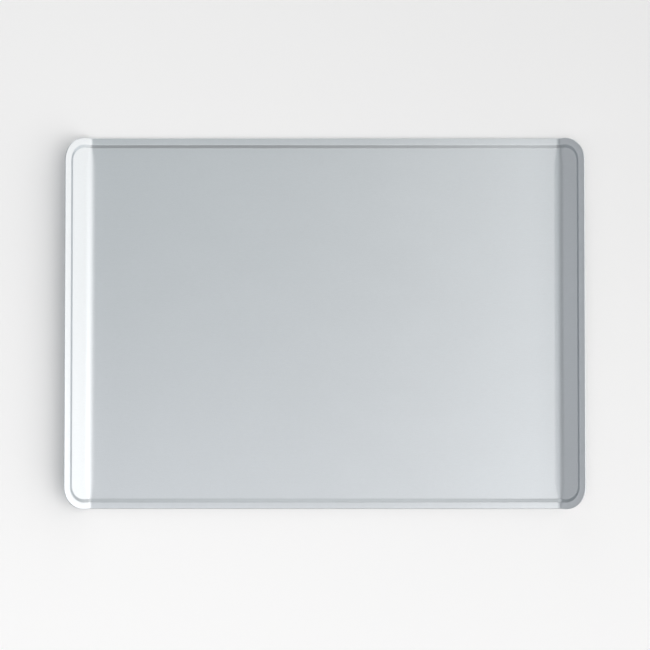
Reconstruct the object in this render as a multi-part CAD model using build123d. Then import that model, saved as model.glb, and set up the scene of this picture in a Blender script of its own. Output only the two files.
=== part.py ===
from build123d import *
import os
from math import asin, cos, degrees, radians, sin, tan

# Cookie sheet: one pressed sheet whose two short ends are bent up as sloped flanges. A stepped-up
# margin runs right round it, and its edge is folded under and curled round a steel wire.
# Millimetres. The origin is on the underside at the middle of the sheet, X runs along the sheet
# and Z points up.

# Sheet, as seen from above
sheet_length = 457.2
sheet_width = 330.2
metal_thickness = 0.6

# Flanges: each is as long as its rounded corners and the short straight stretch below them
flange_angle = 42.0
bend_radius = 13.0
rim_bend_radius = 5.0
blend_length = 14.0
corner_straight = 2.4
corner_radius = 21.6

# Rim: a step up from the sheet, a flat band, a tight fold at its edge, and under the band the
# leg that runs back from the fold at an angle and wraps the wire
step_slope = 35.0
step_bend_radius = 0.5
band_width = 5.5
fold_bend_radius = 0.1
fold_angle = 45.0
curl_rest_gap = 0.1
curl_mouth = 0.6

# Wire inside the curl
wire_diameter = 1.2
wire_clearance = 0.05
wire_end_gap = 0.6

# How far cutting tools run past what they cut
overrun = 2.0

# Curl and band, measured up from the underside
curl_inner_radius = wire_diameter / 2 + wire_clearance
curl_outer_radius = curl_inner_radius + metal_thickness
curl_height = curl_rest_gap + curl_outer_radius
band_top = curl_height + curl_outer_radius
step_rise = band_top - metal_thickness

# Step, at the middle of the metal: one bend up, a straight wall, and one bend back level
step_middle_radius = step_bend_radius + metal_thickness / 2
step_bend_tangent = step_middle_radius * tan(radians(step_slope / 2))
step_run = step_rise / tan(radians(step_slope)) + 2 * step_bend_tangent
step_wall = step_rise / sin(radians(step_slope)) - 2 * step_bend_tangent

# Fold and curl both touch the band and the leg, so one length parts their centres
fold_outer_radius = fold_bend_radius + metal_thickness
fold_height = band_top - fold_outer_radius
leg_length = (curl_inner_radius - fold_bend_radius) / tan(radians(fold_angle / 2))

# Rim widths, measured outwards from the foot of the step
rim_width = step_run + band_width
fold_offset = rim_width - fold_outer_radius
curl_offset = fold_offset - leg_length
foot_y = sheet_width / 2 - rim_width

# The curl turns on past the wire until its cut edge leaves the mouth open under the band
curl_turn = 90 + fold_angle + degrees(asin((curl_inner_radius - curl_mouth) / curl_outer_radius))

# The rim bends about one axis over each bend line, and the sheet beside it follows the same axis
slope = radians(flange_angle)
rim_axis_height = band_top + rim_bend_radius
rim_bend_tangent = rim_axis_height * tan(slope / 2)
foot_bend_radius = rim_axis_height - metal_thickness

# Flange, measured up its slope from the bend line, where the two planes of the underside meet
corner_reach = rim_bend_tangent + corner_straight
fold_reach = corner_reach + corner_radius - fold_outer_radius
foot_reach = fold_reach - fold_offset
corner_y = sheet_width / 2 - corner_radius
corner_foot_radius = corner_radius - rim_width

# The tilted fold or the curl is what lies furthest out, and the bend line follows from that
fold_overhang = fold_reach * cos(slope) - fold_height * sin(slope) + fold_outer_radius
curl_reach = fold_reach - leg_length
curl_overhang = curl_reach * cos(slope) - curl_height * sin(slope) + curl_outer_radius
bend_x = sheet_length / 2 - max(fold_overhang, curl_overhang)

# Directions and planes shared by the rim, the sheet and the wire
along_sheet = Vector(1, 0, 0)
up_slope = Vector(cos(slope), 0, sin(slope))
flange_normal = Vector(-sin(slope), 0, cos(slope))
rim_start = Plane(origin=(0, foot_y, 0), x_dir=(0, 1, 0), z_dir=along_sheet)
flange_plane = Plane(origin=(bend_x, 0, 0), x_dir=up_slope, z_dir=flange_normal)
rim_bend_axis = Axis((bend_x - rim_bend_tangent, 0, rim_axis_height), (0, -1, 0))
corner_axis = Axis(flange_plane.from_local_coords((corner_reach, corner_y, 0)), -flange_normal)


def ribbon(start_height, moves):
    """Face of a strip of metal that sets off level from u = 0, at this middle height.

    A move is (0, length) for a straight run, or (radius, turn) for an arc of the strip's middle,
    where a positive turn bends it up and a negative one down.
    """
    heading = 0
    middle = Vector(0, start_height)
    side = Vector(0, metal_thickness / 2)
    upper_edges = []
    lower_edges = []
    for radius, amount in moves:
        across = side.rotate(Axis.Z, heading)
        if radius == 0:
            run = Vector(amount, 0).rotate(Axis.Z, heading)
            upper_edges.append(Line(middle + across, middle + across + run))
            lower_edges.append(Line(middle - across, middle - across + run))
            middle = middle + run
        else:
            towards = 1 if amount > 0 else -1
            arm = Vector(0, -radius * towards).rotate(Axis.Z, heading)
            centre = middle - arm
            for edges, edge_arm in ((upper_edges, arm + across), (lower_edges, arm - across)):
                halfway = centre + edge_arm.rotate(Axis.Z, amount / 2)
                end = centre + edge_arm.rotate(Axis.Z, amount)
                edges.append(ThreePointArc(centre + edge_arm, halfway, end))
            middle = centre + arm.rotate(Axis.Z, amount)
            heading = heading + amount
    foot_edge = Line(lower_edges[0] @ 0, upper_edges[0] @ 0)
    end_edge = Line(upper_edges[-1] @ 1, lower_edges[-1] @ 1)
    return make_face([*upper_edges, end_edge, *lower_edges, foot_edge])


def carried_round_quarter(section):
    """Solids of a rim section carried from the middle of a long side to the middle of an end."""
    long_run = bend_x - rim_bend_tangent
    pieces = [extrude(section, amount=long_run, dir=along_sheet)]
    section = Pos(along_sheet * long_run) * section
    pieces.append(revolve(section, axis=rim_bend_axis, revolution_arc=flange_angle))
    section = section.rotate(rim_bend_axis, flange_angle)
    pieces.append(extrude(section, amount=corner_straight, dir=up_slope))
    section = Pos(up_slope * corner_straight) * section
    pieces.append(revolve(section, axis=corner_axis, revolution_arc=90))
    section = section.rotate(corner_axis, 90)
    pieces.append(extrude(section, amount=corner_y, dir=(0, -1, 0)))
    return pieces


def all_quarters(quarter):
    """One quarter of the sheet, mirrored to all four."""
    half = quarter + mirror(quarter, about=Plane.YZ)
    return half + mirror(half, about=Plane.XZ)


def rim_section():
    """Step, band, fold, leg and curl, cut across the rim."""
    fold_middle_radius = fold_bend_radius + metal_thickness / 2
    curl_middle_radius = curl_inner_radius + metal_thickness / 2
    band_straight = band_width - fold_outer_radius
    moves = [
        (step_middle_radius, step_slope),
        (0, step_wall),
        (step_middle_radius, -step_slope),
        (0, band_straight),
        (fold_middle_radius, fold_angle - 180),
        (0, leg_length),
        (curl_middle_radius, -curl_turn),
    ]
    return ribbon(metal_thickness / 2, moves)


def lengthwise_profile(inside_radius, y):
    """Half of the sheet cut lengthwise at y, from its middle up to the foot of the end's step."""
    tangent = (inside_radius + metal_thickness) * tan(slope / 2)
    moves = [
        (0, bend_x - tangent),
        (inside_radius + metal_thickness / 2, flange_angle),
        (0, foot_reach - tangent),
    ]
    return Plane.XZ.offset(-y) * ribbon(metal_thickness / 2, moves)


def corner_trim():
    """Tool that rounds the sheet's corner to the foot of the rim's step."""
    reach = corner_foot_radius + overrun
    depth = metal_thickness + 2 * overrun
    block = Box(reach, reach, depth, align=Align.MIN)
    kept = Cylinder(corner_foot_radius, depth, align=(Align.CENTER, Align.CENTER, Align.MIN))
    return flange_plane * Pos(corner_reach, corner_y, -overrun) * (block - kept)


def pan_sheet():
    """The pressed sheet: flat, flanges, and the rim with its curl."""
    blend_start = foot_y - blend_length
    middle_profile = lengthwise_profile(bend_radius, 0)
    blend_profile = lengthwise_profile(bend_radius, blend_start)
    foot_profile = lengthwise_profile(foot_bend_radius, foot_y)
    middle = extrude(middle_profile, amount=blend_start, dir=(0, 1, 0))
    blend = loft([blend_profile, foot_profile], ruled=True)
    baking_surface = (middle + blend) - corner_trim()
    quarter = baking_surface + carried_round_quarter(rim_start * rim_section())
    return all_quarters(quarter)


def rim_wire():
    """The wire in the curl, whose two ends butt under the middle of the front side."""
    section = rim_start * Pos(curl_offset, curl_height) * Circle(wire_diameter / 2)
    quarter = Part() + carried_round_quarter(section)
    ring = all_quarters(quarter)
    gap_tool = Box(wire_end_gap, wire_diameter + overrun, wire_diameter + overrun)
    return ring - Pos(0, -foot_y - curl_offset, curl_height) * gap_tool


os.makedirs("parts", exist_ok=True)
for name, shape in (("pan_sheet", pan_sheet()), ("rim_wire", rim_wire())):
    box = shape.bounding_box()
    print(name, len(shape.solids()), "solids, size", box.size, "volume", shape.volume)
    export_step(shape, f"parts/{name}.step")
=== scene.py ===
"""Looks of the cookie sheet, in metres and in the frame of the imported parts.

The pressed sheet and the wire in its rim are drawn again here as fine meshes on the same sizes,
dressed in satin metal, and set under plain studio light with the camera straight above.
"""

import logging
from dataclasses import dataclass
from enum import Enum
from math import asin, cos, pi, radians, sin, tan
from typing import Callable, Sequence, Union

import bpy
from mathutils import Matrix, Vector

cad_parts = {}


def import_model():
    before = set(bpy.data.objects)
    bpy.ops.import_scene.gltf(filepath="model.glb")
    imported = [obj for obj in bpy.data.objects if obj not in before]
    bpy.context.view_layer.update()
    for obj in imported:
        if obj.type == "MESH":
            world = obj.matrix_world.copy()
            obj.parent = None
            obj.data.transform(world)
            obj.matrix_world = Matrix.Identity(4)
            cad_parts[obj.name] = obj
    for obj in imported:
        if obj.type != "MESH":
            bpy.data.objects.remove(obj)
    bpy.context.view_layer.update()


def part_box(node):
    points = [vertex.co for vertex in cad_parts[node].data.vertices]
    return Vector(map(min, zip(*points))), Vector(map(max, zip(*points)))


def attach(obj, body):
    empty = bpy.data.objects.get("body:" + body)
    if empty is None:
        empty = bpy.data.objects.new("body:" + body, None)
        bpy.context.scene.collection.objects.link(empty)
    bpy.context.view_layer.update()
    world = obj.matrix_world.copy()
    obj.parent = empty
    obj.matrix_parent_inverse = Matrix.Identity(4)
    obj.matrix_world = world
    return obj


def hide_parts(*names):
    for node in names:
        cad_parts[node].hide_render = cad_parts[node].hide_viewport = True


LOG = logging.getLogger("cookie_sheet")
BODY = "root"
MILLIMETRE = 0.001
WELD = 0.00001

Colour = tuple[float, float, float]
Feed = Union[bpy.types.NodeSocket, float, Sequence[float]]


class Stroke(Enum):
    """How the next stretch of a drawn line goes on."""

    STRAIGHT = "straight"
    ARC = "arc"


@dataclass(frozen=True)
class Stretch:
    """One stretch of a line or sweep: a straight run, or an arc about an axis."""

    stroke: Stroke
    steps: int
    run: Vector = Vector((0, 0, 0))
    centre: Vector = Vector((0, 0, 0))
    axis: Vector = Vector((0, 0, 1))
    turn: float = 0.0


def straight(run: Vector, steps: int = 1) -> Stretch:
    """A straight stretch of this length and direction."""
    return Stretch(Stroke.STRAIGHT, steps, run=run)


def arc(centre: Vector, axis: Vector, turn: float, steps: int) -> Stretch:
    """An arc about an axis through centre, by turn in radians."""
    return Stretch(Stroke.ARC, steps, centre=centre, axis=axis, turn=turn)


class Bench:
    """Edit-mode work on one mesh at a time, done with the operators of a modelling session."""

    @staticmethod
    def clear() -> None:
        """Leaves edit mode and deselects every object."""
        if bpy.context.object and bpy.context.object.mode != "OBJECT":
            bpy.ops.object.mode_set(mode="OBJECT")
        bpy.ops.object.select_all(action="DESELECT")

    @classmethod
    def dot(cls, name: str, place: Vector) -> bpy.types.Object:
        """Starts a mesh as one point.

        Args:
            name: The new object's name.
            place: Where the point lies.

        Returns:
            The new object, in edit mode with its point selected.
        """
        cls.clear()
        bpy.ops.mesh.primitive_plane_add(size=MILLIMETRE, location=place)
        piece = bpy.context.object
        piece.name = name
        piece.data.name = name
        bpy.ops.object.transform_apply(location=True, rotation=True, scale=True)
        bpy.ops.object.mode_set(mode="EDIT")
        bpy.ops.mesh.select_all(action="SELECT")
        bpy.ops.mesh.merge(type="CENTER")
        return piece

    @staticmethod
    def sweep(stretches: Sequence[Stretch]) -> None:
        """Draws what is selected along the stretches, one after the other.

        Args:
            stretches: The stretches in order. Spin turns clockwise about its axis, so a turn's
                sign is changed for it.
        """
        for stretch in stretches:
            if stretch.stroke is Stroke.STRAIGHT:
                for _ in range(stretch.steps):
                    bpy.ops.mesh.extrude_region_move(
                        TRANSFORM_OT_translate={"value": stretch.run / stretch.steps}
                    )
            else:
                bpy.ops.mesh.spin(
                    steps=stretch.steps,
                    angle=-stretch.turn,
                    center=stretch.centre,
                    axis=stretch.axis,
                )

    @staticmethod
    def select_vertices(piece: bpy.types.Object, wanted: Callable[[Vector], bool]) -> None:
        """Selects the points that wanted accepts, and nothing else.

        Args:
            piece: The object in edit mode.
            wanted: Says whether a point at this place is to be selected.
        """
        bpy.ops.mesh.select_all(action="DESELECT")
        bpy.ops.object.mode_set(mode="OBJECT")
        for vertex in piece.data.vertices:
            vertex.select = wanted(vertex.co)
        bpy.ops.object.mode_set(mode="EDIT")
        bpy.ops.mesh.select_mode(type="VERT")

    @staticmethod
    def select_edges(
        piece: bpy.types.Object,
        wanted: Callable[[Vector, Vector], bool],
        only_open: bool = False,
    ) -> int:
        """Selects the edges that wanted accepts by their two ends, and nothing else.

        Args:
            piece: The object in edit mode.
            wanted: Says whether an edge between these places is to be selected.
            only_open: Leaves out every edge that has a face on both sides.

        Returns:
            How many edges are selected.
        """
        bpy.ops.mesh.select_mode(type="EDGE")
        bpy.ops.mesh.select_all(action="DESELECT")
        if only_open:
            bpy.ops.mesh.select_non_manifold(
                extend=False,
                use_wire=False,
                use_boundary=True,
                use_multi_face=False,
                use_non_contiguous=False,
                use_verts=False,
            )
        bpy.ops.object.mode_set(mode="OBJECT")
        places = [vertex.co.copy() for vertex in piece.data.vertices]
        count = 0
        for edge in piece.data.edges:
            offered = edge.select or not only_open
            edge.select = offered and wanted(*(places[end] for end in edge.vertices))
            count += edge.select
        bpy.ops.object.mode_set(mode="EDIT")
        return count

    @staticmethod
    def finish_modifier(piece: bpy.types.Object, kind: str, **settings: object) -> None:
        """Adds a modifier to the piece and applies it.

        Args:
            piece: The active object, in object mode.
            kind: The modifier's type, by Blender's name.
            **settings: The modifier's own settings, by name.
        """
        modifier = piece.modifiers.new(kind.title(), kind)
        for setting, value in settings.items():
            setattr(modifier, setting, value)
        bpy.ops.object.modifier_apply(modifier=modifier.name)

    @classmethod
    def unfold_quarter(cls, piece: bpy.types.Object) -> None:
        """Mirrors one quarter to all four and welds them.

        Args:
            piece: The active object, in object mode. It is left in edit mode, selected all over.
        """
        cls.finish_modifier(
            piece, "MIRROR", use_axis=(True, True, False), use_clip=True, merge_threshold=WELD
        )
        bpy.ops.object.mode_set(mode="EDIT")
        bpy.ops.mesh.select_all(action="SELECT")
        bpy.ops.mesh.remove_doubles(threshold=WELD)


@dataclass(frozen=True)
class SheetSizes:
    """Sizes of the pressed sheet. Length and width come from the frame, the rest is named here."""

    length: float
    width: float
    metal: float = 0.6 * MILLIMETRE
    flange_angle: float = radians(42.0)
    bend_radius: float = 13.0 * MILLIMETRE
    rim_bend_radius: float = 5.0 * MILLIMETRE
    blend_length: float = 14.0 * MILLIMETRE
    corner_straight: float = 2.4 * MILLIMETRE
    corner_radius: float = 21.6 * MILLIMETRE
    step_slope: float = radians(35.0)
    step_bend_radius: float = 0.5 * MILLIMETRE
    band_width: float = 5.5 * MILLIMETRE
    fold_bend_radius: float = 0.1 * MILLIMETRE
    fold_angle: float = radians(45.0)
    curl_rest_gap: float = 0.1 * MILLIMETRE
    curl_mouth: float = 0.6 * MILLIMETRE
    wire_diameter: float = 1.2 * MILLIMETRE
    wire_clearance: float = 0.05 * MILLIMETRE
    wire_end_gap: float = 0.6 * MILLIMETRE

    @property
    def curl_inner(self) -> float:
        """Radius of the curl's bore."""
        return self.wire_diameter / 2 + self.wire_clearance

    @property
    def curl_outer(self) -> float:
        """Radius of the curl's outside."""
        return self.curl_inner + self.metal

    @property
    def curl_height(self) -> float:
        """Height of the wire's axis over the underside."""
        return self.curl_rest_gap + self.curl_outer

    @property
    def step_rise(self) -> float:
        """How far the band stands above the sheet."""
        return self.curl_height + self.curl_outer - self.metal

    @property
    def step_radius(self) -> float:
        """Radius of the step's two bends, at the middle of the metal."""
        return self.step_bend_radius + self.metal / 2

    @property
    def step_tangent(self) -> float:
        """From a bend's corner to where the bend starts or ends."""
        return self.step_radius * tan(self.step_slope / 2)

    @property
    def step_run(self) -> float:
        """Width of the step, as seen from above."""
        return self.step_rise / tan(self.step_slope) + 2 * self.step_tangent

    @property
    def step_wall(self) -> float:
        """Length of the step's straight wall, up its slope."""
        return self.step_rise / sin(self.step_slope) - 2 * self.step_tangent

    @property
    def rim_width(self) -> float:
        """From the foot of the step out to the edge of the band."""
        return self.step_run + self.band_width

    @property
    def fold_outer(self) -> float:
        """Radius of the fold's outside, at the edge of the band."""
        return self.fold_bend_radius + self.metal

    @property
    def fold_offset(self) -> float:
        """From the foot of the step out to the fold's centre."""
        return self.rim_width - self.fold_outer

    @property
    def fold_height(self) -> float:
        """Height of the fold's centre over the underside."""
        return self.metal + self.step_rise - self.fold_outer

    @property
    def leg_length(self) -> float:
        """Straight run between fold and curl, which both touch the band and the leg."""
        return (self.curl_inner - self.fold_bend_radius) / tan(self.fold_angle / 2)

    @property
    def curl_offset(self) -> float:
        """From the foot of the step out to the wire's axis."""
        return self.fold_offset - self.leg_length

    @property
    def curl_turn(self) -> float:
        """How far the curl turns before its cut edge."""
        past_level = asin((self.curl_inner - self.curl_mouth) / self.curl_outer)
        return pi / 2 + self.fold_angle + past_level

    @property
    def foot_y(self) -> float:
        """Where the step rises along the long sides."""
        return self.width / 2 - self.rim_width

    @property
    def rim_axis_height(self) -> float:
        """Height of the axis that the rim bends about."""
        return self.curl_height + self.curl_outer + self.rim_bend_radius

    @property
    def rim_tangent(self) -> float:
        """From the bend line to where the rim starts and ends its bend."""
        return self.rim_axis_height * tan(self.flange_angle / 2)

    @property
    def sheet_tangent(self) -> float:
        """From the bend line to where the sheet starts and ends its wider bend."""
        return (self.bend_radius + self.metal) * tan(self.flange_angle / 2)

    @property
    def corner_reach(self) -> float:
        """Up the slope from the bend line to where the corner starts to turn."""
        return self.rim_tangent + self.corner_straight

    @property
    def foot_reach(self) -> float:
        """Up the slope from the bend line to the foot of the end's step."""
        return self.corner_reach + self.corner_radius - self.rim_width

    @property
    def corner_y(self) -> float:
        """Where the corner's turn is centred, across the sheet."""
        return self.width / 2 - self.corner_radius

    @property
    def bend_x(self) -> float:
        """Where the bend line lies along X, with both fold and curl inside the sheet's length."""
        fold_reach = self.corner_reach + self.corner_radius - self.fold_outer
        overhangs = (
            reach * cos(self.flange_angle) - height * sin(self.flange_angle) + radius
            for reach, height, radius in (
                (fold_reach, self.fold_height, self.fold_outer),
                (fold_reach - self.leg_length, self.curl_height, self.curl_outer),
            )
        )
        return self.length / 2 - max(overhangs)

    @property
    def up_slope(self) -> Vector:
        """Direction up the flange at the +X end."""
        return Vector((cos(self.flange_angle), 0, sin(self.flange_angle)))

    @property
    def flange_normal(self) -> Vector:
        """Direction square to the flange at the +X end, on its upper side."""
        return Vector((-sin(self.flange_angle), 0, cos(self.flange_angle)))

    def on_slope(self, reach: float, y: float) -> Vector:
        """Place on the flange's underside, this far up the slope from the bend line."""
        return Vector((self.bend_x, 0, 0)) + self.up_slope * reach + Vector((0, y, 0))

    def slope_reach(self, place: Vector) -> float:
        """How far up the slope from the bend line a place lies."""
        return (place - Vector((self.bend_x, 0, 0))).dot(self.up_slope)


@dataclass(frozen=True)
class RimPath:
    """The way that the rim's section and the wire follow round one quarter of the sheet."""

    sizes: SheetSizes
    long_steps: int = 10
    bend_steps: int = 12
    corner_steps: int = 28
    end_steps: int = 8

    @property
    def blend_y(self) -> float:
        """Where the strip beside the rim begins, across the sheet."""
        return self.sizes.foot_y - self.sizes.blend_length

    def quarter(self) -> list[Stretch]:
        """The way round one quarter of the sheet.

        Returns:
            Stretches from the middle of the back long side to the middle of the +X end.
        """
        s = self.sizes
        bend_centre = Vector((s.bend_x - s.rim_tangent, 0, s.rim_axis_height))
        corner_centre = s.on_slope(s.corner_reach, s.corner_y)
        return [
            straight(Vector((s.bend_x - s.rim_tangent, 0, 0)), self.long_steps),
            arc(bend_centre, Vector((0, -1, 0)), s.flange_angle, self.bend_steps),
            straight(s.up_slope * s.corner_straight),
            arc(corner_centre, -s.flange_normal, pi / 2, self.corner_steps),
            straight(Vector((0, self.blend_y - s.corner_y, 0))),
            straight(Vector((0, -self.blend_y, 0)), self.end_steps),
        ]


@dataclass(frozen=True)
class PressedSheet:
    """The pressed sheet: flat, flanges, step, band, fold and curl, as one skin of metal.

    The rim's cross-section is drawn from a little way inside the step, which is its lead.
    """

    sizes: SheetSizes
    path: RimPath
    lead: float = 1.2 * MILLIMETRE
    step_steps: int = 9
    wall_steps: int = 2
    band_steps: int = 2
    fold_steps: int = 12
    curl_steps: int = 16
    flange_steps: int = 3
    smooth_angle: float = radians(35)

    @property
    def inner_y(self) -> float:
        """Where the rim's cross-section starts, across the sheet."""
        return self.sizes.foot_y - self.lead

    def rim_line(self) -> list[Stretch]:
        """The rim's cross-section, along the middle of the metal.

        Returns:
            Its stretches, from just inside the step to the curl's cut edge.
        """
        s = self.sizes
        middle = s.metal / 2
        up_wall = Vector((0, cos(s.step_slope), sin(s.step_slope)))
        lower_centre = Vector((0, s.foot_y, middle + s.step_radius))
        upper_centre = Vector((0, s.foot_y + s.step_run, middle + s.step_rise - s.step_radius))
        fold_centre = Vector((0, s.foot_y + s.fold_offset, s.fold_height))
        curl_centre = Vector((0, s.foot_y + s.curl_offset, s.curl_height))
        down_leg = Vector((0, -cos(s.fold_angle), -sin(s.fold_angle)))
        across = Vector((1, 0, 0))
        return [
            straight(Vector((0, self.lead, 0))),
            arc(lower_centre, across, s.step_slope, self.step_steps),
            straight(up_wall * s.step_wall, self.wall_steps),
            arc(upper_centre, across, -s.step_slope, self.step_steps),
            straight(Vector((0, s.band_width - s.fold_outer, 0)), self.band_steps),
            arc(fold_centre, across, s.fold_angle - pi, self.fold_steps),
            straight(down_leg * s.leg_length),
            arc(curl_centre, across, -s.curl_turn, self.curl_steps),
        ]

    def draw_rim(self) -> bpy.types.Object:
        """Draws the rim's section as a line and carries it round one quarter.

        Returns:
            The rim's skin, at the middle of the metal.
        """
        rim = Bench.dot("rim_quarter", Vector((0, self.inner_y, self.sizes.metal / 2)))
        Bench.sweep(self.rim_line())
        bpy.ops.mesh.select_all(action="SELECT")
        Bench.sweep(self.path.quarter())
        Bench.clear()
        return rim

    def draw_surface(self) -> bpy.types.Object:
        """Draws the sheet's lengthwise line and draws it out across the sheet.

        Returns:
            One quarter of the flat, bend and flange, up to the strip beside the rim.
        """
        s = self.sizes
        surface = Bench.dot("surface_quarter", Vector((0, 0, s.metal / 2)))
        bend_centre = Vector((s.bend_x - s.sheet_tangent, 0, s.metal + s.bend_radius))
        past_bend = s.corner_reach - s.sheet_tangent
        past_corner_start = s.foot_reach - self.lead - s.corner_reach
        Bench.sweep(
            [
                straight(Vector((s.bend_x - s.sheet_tangent, 0, 0)), self.path.long_steps),
                arc(bend_centre, Vector((0, -1, 0)), s.flange_angle, self.path.bend_steps),
                straight(s.up_slope * past_bend),
                straight(s.up_slope * past_corner_start, self.flange_steps),
            ]
        )
        bpy.ops.mesh.select_all(action="SELECT")
        Bench.sweep([straight(Vector((0, self.path.blend_y, 0)), self.path.end_steps)])
        Bench.clear()
        return surface

    def beside_strip(self, start: Vector, end: Vector) -> bool:
        """Whether an edge lies along one side of the strip between the surface and the rim.

        Args:
            start: One end of the edge.
            end: Its other end.

        Returns:
            True for an edge that the strip is bridged from.
        """
        last = self.sizes.corner_reach + WELD
        along_strip = any(
            abs(start.y - y) < WELD and abs(end.y - y) < WELD
            for y in (self.inner_y, self.path.blend_y)
        )
        return along_strip and all(self.sizes.slope_reach(p) < last for p in (start, end))

    def round_corner_gap(self, start: Vector, end: Vector) -> bool:
        """Whether an edge lies on the flange, round the gap inside the corner's turn.

        Args:
            start: One end of the edge.
            end: Its other end.

        Returns:
            True for an edge there, which is one of the gap's own if it is open.
        """
        s = self.sizes
        return all(
            s.slope_reach(p) > s.corner_reach - WELD
            and self.path.blend_y - WELD < p.y < self.inner_y + WELD
            and abs((p - s.on_slope(0, 0)).dot(s.flange_normal) - s.metal / 2) < WELD
            for p in (start, end)
        )

    def join_surface(self, rim: bpy.types.Object, surface: bpy.types.Object) -> bpy.types.Object:
        """Welds the rim and the surface, bridges the strip between them and closes the corner.

        Args:
            rim: The rim's quarter.
            surface: The surface's quarter.

        Returns:
            The whole quarter, at the middle of the metal.
        """
        rim.select_set(True)
        surface.select_set(True)
        bpy.context.view_layer.objects.active = surface
        bpy.ops.object.join()
        bpy.ops.object.mode_set(mode="EDIT")
        bpy.ops.mesh.select_all(action="SELECT")
        bpy.ops.mesh.remove_doubles(threshold=WELD)
        Bench.select_edges(surface, self.beside_strip)
        bpy.ops.mesh.bridge_edge_loops()
        closed = Bench.select_edges(surface, self.round_corner_gap, only_open=True)
        bpy.ops.mesh.edge_face_add()
        LOG.info("corner gap closed over %d edges", closed)
        Bench.clear()
        return surface

    def build(self) -> bpy.types.Object:
        """Builds the whole sheet from its quarter.

        Returns:
            The finished sheet.
        """
        sheet = self.join_surface(self.draw_rim(), self.draw_surface())
        sheet.name = "satin_pan_sheet"
        sheet.data.name = sheet.name
        sheet.select_set(True)
        bpy.context.view_layer.objects.active = sheet
        Bench.unfold_quarter(sheet)
        bpy.ops.mesh.normals_make_consistent(inside=False)
        bpy.ops.object.mode_set(mode="OBJECT")
        middle = min(sheet.data.polygons, key=lambda face: face.center.length)
        if middle.normal.z < 0:
            bpy.ops.object.mode_set(mode="EDIT")
            bpy.ops.mesh.flip_normals()
            bpy.ops.object.mode_set(mode="OBJECT")
        Bench.finish_modifier(
            sheet, "SOLIDIFY", thickness=self.sizes.metal, offset=0, use_even_offset=True
        )
        bpy.ops.object.shade_smooth_by_angle(angle=self.smooth_angle)
        Bench.clear()
        return sheet


@dataclass(frozen=True)
class RimWire:
    """The steel wire in the curl, with its two cut ends under the front side."""

    sizes: SheetSizes
    path: RimPath
    sides: int = 20
    smooth_angle: float = radians(40)

    def build(self) -> bpy.types.Object:
        """Draws the wire round one quarter, mirrors it and cuts the gap between its ends.

        Returns:
            The finished wire.
        """
        s = self.sizes
        Bench.clear()
        bpy.ops.mesh.primitive_circle_add(
            vertices=self.sides,
            radius=s.wire_diameter / 2,
            location=(0, s.foot_y + s.curl_offset, s.curl_height),
            rotation=(0, pi / 2, 0),
        )
        wire = bpy.context.object
        wire.name = "steel_rim_wire"
        wire.data.name = wire.name
        bpy.ops.object.transform_apply(location=True, rotation=True, scale=True)
        bpy.ops.object.mode_set(mode="EDIT")
        bpy.ops.mesh.select_all(action="SELECT")
        Bench.sweep(self.path.quarter())
        bpy.ops.object.mode_set(mode="OBJECT")
        Bench.unfold_quarter(wire)
        for side in (-1, 1):
            Bench.select_vertices(wire, lambda p: p.y < 0 and abs(p.x) < s.bend_x / 2)
            bpy.ops.mesh.bisect(plane_co=(side * s.wire_end_gap / 2, 0, 0), plane_no=(1, 0, 0))
        Bench.select_vertices(wire, lambda p: p.y < 0 and abs(p.x) < s.wire_end_gap / 2 - WELD)
        bpy.ops.mesh.delete(type="VERT")
        bpy.ops.mesh.select_all(action="SELECT")
        bpy.ops.mesh.fill_holes(sides=self.sides)
        bpy.ops.mesh.normals_make_consistent(inside=False)
        bpy.ops.object.mode_set(mode="OBJECT")
        bpy.ops.object.shade_smooth_by_angle(angle=self.smooth_angle)
        Bench.clear()
        return wire


class Operation(Enum):
    """What a node works out from one or two values."""

    ADD = "ADD"
    SUBTRACT = "SUBTRACT"
    MULTIPLY = "MULTIPLY"
    POWER = "POWER"
    MAXIMUM = "MAXIMUM"
    ABSOLUTE = "ABSOLUTE"


class Easing(Enum):
    """How a ramp goes from its low value to its high one."""

    EVEN = "LINEAR"
    SOFT = "SMOOTHSTEP"


class Graph:
    """Nodes of one finish or of the room, added and linked one at a time."""

    def __init__(self, tree: bpy.types.NodeTree) -> None:
        """Takes the tree that the nodes go into."""
        self.tree = tree

    def feed(self, socket: bpy.types.NodeSocket, value: Feed) -> None:
        """Links a socket to another, or sets it to a number or colour.

        Args:
            socket: The input to feed.
            value: The output to link to it, or the number or colour to set it to.
        """
        if isinstance(value, bpy.types.NodeSocket):
            self.tree.links.new(value, socket)
        else:
            socket.default_value = value

    def math(self, operation: Operation, first: Feed, second: Feed = 0.0) -> bpy.types.NodeSocket:
        """Adds a node that works out one operation.

        Args:
            operation: What it works out.
            first: The first value.
            second: The second value, for an operation that takes two.

        Returns:
            The result.
        """
        node = self.tree.nodes.new("ShaderNodeMath")
        node.operation = operation.value
        self.feed(node.inputs[0], first)
        self.feed(node.inputs[1], second)
        return node.outputs["Value"]

    def shaded(self, colour: Sequence[float], brightness: Feed) -> bpy.types.NodeSocket:
        """Makes one colour lighter and darker.

        Args:
            colour: The colour at a brightness of 1.
            brightness: What the colour is multiplied by.

        Returns:
            The shaded colour.
        """
        node = self.tree.nodes.new("ShaderNodeVectorMath")
        node.operation = "SCALE"
        node.inputs[0].default_value = colour
        self.feed(node.inputs["Scale"], brightness)
        return node.outputs["Vector"]


@dataclass(frozen=True)
class Pattern:
    """A cloudy pattern of a finish.

    Its size is about how large its blobs are along each axis, and its detail is how many finer
    layers lie over the first. It swings the metal's brightness and roughness by so much in all.
    """

    size: Vector
    brightness: float
    roughness: float
    detail: float = 2.0


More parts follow.
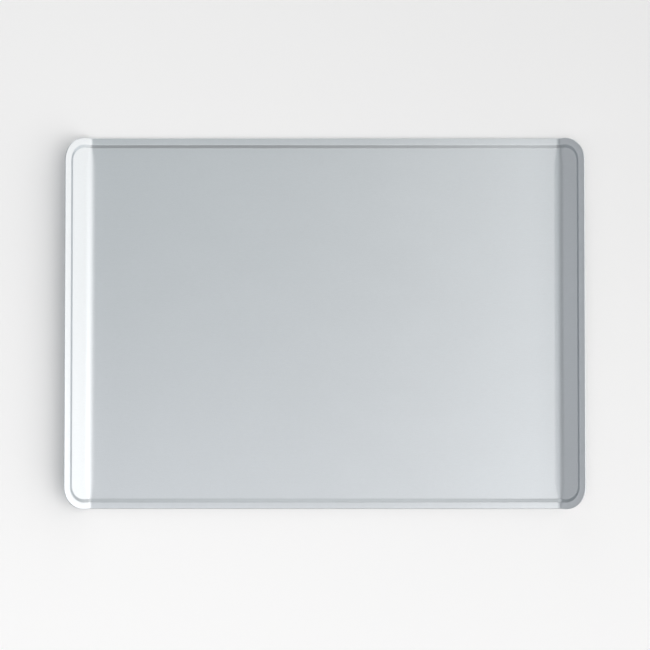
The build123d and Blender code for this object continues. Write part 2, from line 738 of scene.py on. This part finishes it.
class PatternGraph(Graph):
    """Graph of one finish, patterned on the piece's own Object coordinates."""

    usual_noise: tuple[float, float] = (0.3, 0.7)

    def __init__(self, name: str, metallic: float = 1.0) -> None:
        """Starts the material.

        Args:
            name: The material's name.
            metallic: 1 for bare metal and 0 for paint.
        """
        self.material = bpy.data.materials.new(name)
        self.material.use_nodes = True
        super().__init__(self.material.node_tree)
        self.shader = self.tree.nodes["Principled BSDF"]
        self.shader.inputs["Metallic"].default_value = metallic
        place = self.tree.nodes.new("ShaderNodeTexCoord")
        split = self.tree.nodes.new("ShaderNodeSeparateXYZ")
        self.tree.links.new(place.outputs["Object"], split.inputs["Vector"])
        self.place = place.outputs["Object"]
        self.axes = {axis: split.outputs[axis] for axis in "XYZ"}

    def ramp(
        self,
        value: bpy.types.NodeSocket,
        start: float,
        end: float,
        low: float = 0.0,
        high: float = 1.0,
        easing: Easing = Easing.EVEN,
    ) -> bpy.types.NodeSocket:
        """Turns a value between start and end into one between low and high, and no further.

        Args:
            value: The value to turn.
            start: Where the ramp starts.
            end: Where it ends.
            low: The result at the start and before it.
            high: The result at the end and after it.
            easing: How it goes from low to high.

        Returns:
            The result.
        """
        node = self.tree.nodes.new("ShaderNodeMapRange")
        node.interpolation_type = easing.value
        self.feed(node.inputs["Value"], value)
        node.inputs["From Min"].default_value = start
        node.inputs["From Max"].default_value = end
        node.inputs["To Min"].default_value = low
        node.inputs["To Max"].default_value = high
        return node.outputs["Result"]

    def noise(self, size: Vector, detail: float) -> bpy.types.NodeSocket:
        """Cloudy noise from 0 to 1.

        Args:
            size: About how large its blobs are along each axis.
            detail: How many finer layers lie over the first.

        Returns:
            The noise's value, with the range that noise mostly keeps to drawn out to 0 to 1.
        """
        scale = self.tree.nodes.new("ShaderNodeMapping")
        scale.inputs["Scale"].default_value = (1 / size.x, 1 / size.y, 1 / size.z)
        self.feed(scale.inputs["Vector"], self.place)
        node = self.tree.nodes.new("ShaderNodeTexNoise")
        node.inputs["Scale"].default_value = 1
        node.inputs["Detail"].default_value = detail
        self.feed(node.inputs["Vector"], scale.outputs["Vector"])
        return self.ramp(node.outputs["Fac"], *self.usual_noise)

    def weigh(
        self, parts: Sequence[tuple[bpy.types.NodeSocket, float]], level: float
    ) -> bpy.types.NodeSocket:
        """Sum of patterns round a level.

        Args:
            parts: Each pattern from 0 to 1, with how far it swings the sum in all.
            level: What the sum is where every pattern is halfway.

        Returns:
            The sum.
        """
        total = level - sum(swing for _, swing in parts) / 2
        for value, swing in parts:
            total = self.math(Operation.ADD, self.math(Operation.MULTIPLY, value, swing), total)
        return total

    def dress(
        self,
        tone: Colour,
        roughness: float,
        parts: Sequence[tuple[bpy.types.NodeSocket, Pattern]],
    ) -> None:
        """Gives the metal its tone and roughness, both swung by the same patterns.

        Args:
            tone: The metal's colour where every pattern is halfway.
            roughness: Its roughness there.
            parts: Each pattern's value, with the pattern that says how far it swings the two.
        """
        brightness = self.weigh([(value, part.brightness) for value, part in parts], level=1.0)
        self.feed(self.shader.inputs["Base Color"], self.shaded(tone, brightness))
        varied = self.weigh([(value, part.roughness) for value, part in parts], level=roughness)
        self.feed(self.shader.inputs["Roughness"], varied)

    def emboss(self, height: bpy.types.NodeSocket, depth: float) -> None:
        """Raises the surface by a pattern.

        Args:
            height: The pattern, from 0 to 1.
            depth: How far the surface rises where the pattern is 1.
        """
        node = self.tree.nodes.new("ShaderNodeBump")
        node.inputs["Distance"].default_value = depth
        self.feed(node.inputs["Height"], height)
        self.feed(self.shader.inputs["Normal"], node.outputs["Normal"])


@dataclass(frozen=True)
class SatinSheetFinish:
    """Satin aluminised steel, cool grey: fine matt grain, faint rolling lines, a rubbed rim."""

    tone: Colour = (0.613, 0.642, 0.663)
    roughness: float = 0.42
    grain: Pattern = Pattern(Vector((0.25, 0.25, 0.25)) * MILLIMETRE, 0.07, 0.05)
    brushing: Pattern = Pattern(Vector((6, 0.09, 6)) * MILLIMETRE, 0.07, 0.05)
    rolling: Pattern = Pattern(Vector((120, 0.6, 120)) * MILLIMETRE, 0.014, 0.02, detail=3.0)
    cloud: Pattern = Pattern(Vector((55, 35, 35)) * MILLIMETRE, 0.012, 0.012)
    rub: Pattern = Pattern(Vector((6, 6, 3)) * MILLIMETRE, 0.016, -0.04, detail=4.0)
    grain_depth: float = 0.0012 * MILLIMETRE
    grain_share: float = 0.6
    rubbed_width: float = 2.5 * MILLIMETRE

    def material(self, sizes: SheetSizes) -> bpy.types.Material:
        """Makes the material.

        Args:
            sizes: The sheet's sizes, which say where the rim begins.

        Returns:
            The material.
        """
        graph = PatternGraph("satin_sheet_finish")
        grain, brushing, rolling, cloud, rub = (
            graph.noise(pattern.size, pattern.detail)
            for pattern in (self.grain, self.brushing, self.rolling, self.cloud, self.rub)
        )
        rubbed = graph.math(Operation.MULTIPLY, self.rim_mask(graph, sizes), rub)
        graph.dress(
            self.tone,
            self.roughness,
            [
                (grain, self.grain),
                (brushing, self.brushing),
                (rolling, self.rolling),
                (cloud, self.cloud),
                (rubbed, self.rub),
            ],
        )
        relief = [(grain, self.grain_share), (brushing, 1 - self.grain_share)]
        graph.emboss(graph.weigh(relief, level=0.5), self.grain_depth)
        return graph.material

    def rim_mask(self, graph: PatternGraph, sizes: SheetSizes) -> bpy.types.NodeSocket:
        """Masks the rim, where the sheet is handled and stacked.

        Args:
            graph: The finish's graph.
            sizes: The sheet's sizes.

        Returns:
            A value that is 1 on the rim and 0 inside it.
        """
        side = graph.math(Operation.ABSOLUTE, graph.axes["Y"])
        foot_height = sizes.on_slope(sizes.foot_reach, 0).z
        on_side = graph.ramp(side, sizes.foot_y, sizes.foot_y + self.rubbed_width)
        on_end = graph.ramp(graph.axes["Z"], foot_height, foot_height + self.rubbed_width)
        return graph.math(Operation.MAXIMUM, on_side, on_end)


@dataclass(frozen=True)
class DrawnWireFinish:
    """Plain drawn steel wire, dull grey, with the lines that the die leaves along it."""

    tone: Colour = (0.5, 0.51, 0.52)
    roughness: float = 0.36
    lines: Pattern = Pattern(Vector((30, 0.08, 0.08)) * MILLIMETRE, 0.16, 0.08)
    mill_scale: Pattern = Pattern(Vector((3, 3, 3)) * MILLIMETRE, 0.12, 0.12, detail=4.0)
    line_depth: float = 0.002 * MILLIMETRE

    def material(self, sizes: SheetSizes) -> bpy.types.Material:
        """Makes the material.

        Args:
            sizes: The sheet's sizes, which say where the wire turns across the sheet.

        Returns:
            The material.
        """
        graph = PatternGraph("drawn_wire_finish")
        along_x = graph.noise(self.lines.size, self.lines.detail)
        along_y = graph.noise(self.lines.size.yxz, self.lines.detail)
        reach = graph.math(Operation.ABSOLUTE, graph.axes["X"])
        at_end = graph.ramp(reach, sizes.bend_x, sizes.length / 2)
        on_side = graph.math(Operation.SUBTRACT, 1.0, at_end)
        lines = graph.math(
            Operation.ADD,
            graph.math(Operation.MULTIPLY, along_y, at_end),
            graph.math(Operation.MULTIPLY, along_x, on_side),
        )
        mill_scale = graph.noise(self.mill_scale.size, self.mill_scale.detail)
        parts = [(lines, self.lines), (mill_scale, self.mill_scale)]
        graph.dress(self.tone, self.roughness, parts)
        graph.emboss(lines, self.line_depth)
        return graph.material


@dataclass(frozen=True)
class Overhead:
    """The camera straight above the sheet, leaning a little from its front side."""

    distance: float = 1.05
    lean: float = radians(1.05)
    photo_pixels: int = 650
    metres_per_pixel: float = 0.0008935
    sensor: float = 36.0
    aim_x: float = 0.0001
    aim_y: float = -0.0017

    def set_up(self) -> None:
        """Places the camera and makes it the scene's own."""
        camera_data = bpy.data.cameras.new("overhead")
        camera_data.sensor_width = self.sensor
        camera_data.lens = self.sensor * self.distance / (self.photo_pixels * self.metres_per_pixel)
        camera = bpy.data.objects.new("overhead", camera_data)
        bpy.context.scene.collection.objects.link(camera)
        away = Vector((0, -sin(self.lean), cos(self.lean))) * self.distance
        camera.location = Vector((self.aim_x, self.aim_y, 0)) + away
        camera.rotation_euler = (self.lean, 0, 0)
        bpy.context.scene.camera = camera


@dataclass(frozen=True)
class Softbox:
    """A rectangular softbox that faces the middle of the sheet.

    Its place is an angle down from the zenith and an angle round from +X, both in degrees, and
    a distance.
    """

    name: str
    zenith: float
    azimuth: float
    distance: float
    width: float
    height: float
    watts: float
    tint: Colour = (1.0, 1.0, 1.0)

    def set_up(self) -> None:
        """Hangs the softbox and turns it to the sheet."""
        data = bpy.data.lights.new(self.name, "AREA")
        data.shape = "RECTANGLE"
        data.size = self.width
        data.size_y = self.height
        data.energy = self.watts
        data.color = self.tint
        softbox = bpy.data.objects.new(self.name, data)
        bpy.context.scene.collection.objects.link(softbox)
        down = radians(self.zenith)
        across = radians(self.azimuth)
        towards = Vector((sin(down) * cos(across), sin(down) * sin(across), cos(down)))
        softbox.location = towards * self.distance
        softbox.rotation_euler = (-towards).to_track_quat("-Z", "Y").to_euler()


@dataclass(frozen=True)
class Wall:
    """A lit wall far off on one side of the room, brightest straight that way.

    The higher its sharpness, the faster it darkens away from there.
    """

    towards: tuple[float, float, float]
    strength: float
    tint: Colour = (1.0, 1.0, 1.0)
    sharpness: float = 1.0

    def glow(self, graph: Graph, direction: bpy.types.NodeSocket) -> bpy.types.NodeSocket:
        """Light that the wall sends.

        Args:
            graph: The room's graph.
            direction: The direction that the light is asked for.

        Returns:
            The light's colour and strength from there.
        """
        facing = graph.tree.nodes.new("ShaderNodeVectorMath")
        facing.operation = "DOT_PRODUCT"
        graph.feed(facing.inputs[0], direction)
        graph.feed(facing.inputs[1], self.towards)
        lit = graph.math(Operation.MAXIMUM, facing.outputs["Value"], 0.0)
        faded = graph.math(Operation.POWER, lit, self.sharpness)
        return graph.shaded([self.strength * channel for channel in self.tint], faded)


@dataclass(frozen=True)
class Surroundings:
    """Even room light, with a bright, warm wall on the +X side and a cooler one on the -X side."""

    even: Colour = (0.1451, 0.1515, 0.1562)
    walls: tuple[Wall, ...] = (
        Wall((1, 0, 0), 1.525, (1.0, 0.969, 0.939)),
        Wall((-1, 0, 0), 0.305, (0.973, 0.974, 1.0), sharpness=3.0),
    )

    def set_up(self) -> None:
        """Makes the world."""
        world = bpy.data.worlds.new("studio_room")
        world.use_nodes = True
        graph = Graph(world.node_tree)
        direction = graph.tree.nodes.new("ShaderNodeTexCoord").outputs["Generated"]
        light: Feed = self.even
        for wall in self.walls:
            both = graph.tree.nodes.new("ShaderNodeVectorMath")
            graph.feed(both.inputs[0], light)
            graph.feed(both.inputs[1], wall.glow(graph, direction))
            light = both.outputs["Vector"]
        graph.feed(graph.tree.nodes["Background"].inputs["Color"], light)
        bpy.context.scene.world = world


@dataclass(frozen=True)
class Studio:
    """Pale floor, soft lights and the room round them."""

    floor_side: float = 30.0
    floor_tone: float = 0.905
    floor_roughness: float = 0.9
    # Painted light: how much paler the floor is painted towards the front and the left, and how far
    # out.
    painted_light_front: float = 0.053
    painted_light_left: float = 0.035
    painted_light_reach: float = 0.45
    softboxes: tuple[Softbox, ...] = (
        Softbox("back_right_bank", 28.0, 45.0, 3.08, 1.6, 1.6, 4.85, (0.984, 1.0, 0.997)),
        Softbox("right_bank", 28.0, 0.0, 3.08, 1.6, 1.6, 4.3, (1.0, 0.982, 0.986)),
        Softbox("front_right_bank", 28.0, -45.0, 3.08, 1.6, 1.6, 4.04, (1.0, 0.985, 0.992)),
        Softbox("front_bank", 28.0, -90.0, 3.08, 1.6, 1.6, 4.3, (0.993, 0.984, 1.0)),
        Softbox("front_left_bank", 14.0, -135.0, 3.08, 1.4, 1.4, 3.28, (0.984, 0.982, 1.0)),
        Softbox("back_left_bank", 14.0, 135.0, 3.08, 1.4, 1.4, 2.68, (0.928, 1.0, 1.0)),
        Softbox("right_key", 50.0, -35.0, 2.4, 2.0, 1.6, 12.87, (1.0, 0.99, 0.992)),
        Softbox("back_low", 77.0, 90.0, 2.6, 1.8, 0.9, 12.38, (0.983, 0.995, 1.0)),
        Softbox("left_low", 77.0, 180.0, 2.6, 1.8, 0.9, 3.16, (0.978, 0.972, 1.0)),
        Softbox("front_left_high", 30.0, -135.0, 2.6, 1.2, 1.2, 4.45, (0.996, 0.982, 1.0)),
        Softbox("back_left_high", 30.0, 135.0, 2.6, 1.2, 1.2, 2.41, (0.943, 0.995, 1.0)),
        Softbox("front_left_mid", 55.0, -135.0, 2.6, 1.4, 1.2, 2.39, (0.993, 0.994, 1.0)),
        Softbox("back_left_mid", 62.0, 115.0, 2.6, 1.4, 1.2, 1.98, (0.993, 0.998, 1.0)),
    )

    def floor_paint_and_painted_light(self) -> bpy.types.Material:
        """Mixes matt pale paint, with painted light that makes it paler towards the front and the
        left.

        Returns:
            The floor's material.
        """
        graph = PatternGraph("pale_floor", metallic=0.0)
        # Painted light: the floor is painted paler towards the front and the left, where the light
        # falls brighter.
        front_painted_light, left_painted_light = (
            graph.ramp(
                graph.axes[axis], -self.painted_light_reach, self.painted_light_reach, paler, -paler, Easing.SOFT
            )
            for axis, paler in (("Y", self.painted_light_front), ("X", self.painted_light_left))
        )
        painted_light_fade = graph.math(Operation.ADD, front_painted_light, left_painted_light)
        brightness = graph.math(Operation.ADD, painted_light_fade, self.floor_tone)
        graph.feed(graph.shader.inputs["Base Color"], graph.shaded((1, 1, 1), brightness))
        graph.feed(graph.shader.inputs["Roughness"], self.floor_roughness)
        graph.feed(graph.shader.inputs["Specular IOR Level"], 0.0)
        return graph.material

    def lay_floor(self) -> None:
        """Lays the pale floor that the sheet stands on."""
        Bench.clear()
        bpy.ops.mesh.primitive_plane_add(size=self.floor_side, location=(0, 0, 0))
        floor = bpy.context.object
        floor.name = "floor"
        floor.data.materials.append(self.floor_paint_and_painted_light())

    def set_up(self) -> None:
        """Lays the floor, lights the room and hangs the softboxes."""
        self.lay_floor()
        Surroundings().set_up()
        for softbox in self.softboxes:
            softbox.set_up()


def main() -> None:
    """Loads the frame, builds and dresses every piece, and sets the scene."""
    logging.basicConfig(level=logging.INFO, format="%(name)s: %(message)s")
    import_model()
    low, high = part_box("pan_sheet")
    sizes = SheetSizes(length=high.x - low.x, width=high.y - low.y)
    path = RimPath(sizes)
    sheet = PressedSheet(sizes, path).build()
    wire = RimWire(sizes, path).build()
    for piece, node, slot, finish in (
        (sheet, "pan_sheet", "satin_sheet_metal", SatinSheetFinish()),
        (wire, "rim_wire", "drawn_steel_wire", DrawnWireFinish()),
    ):
        piece.data.materials.clear()
        piece.data.materials.append(finish.material(sizes))
        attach(piece, BODY)
        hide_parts(node)
        LOG.info("%s: %d faces", piece.name, len(piece.data.polygons))
    Studio().set_up()
    Overhead().set_up()
    bpy.context.scene.view_settings.view_transform = "Standard"


if __name__ == "__main__":
    main()
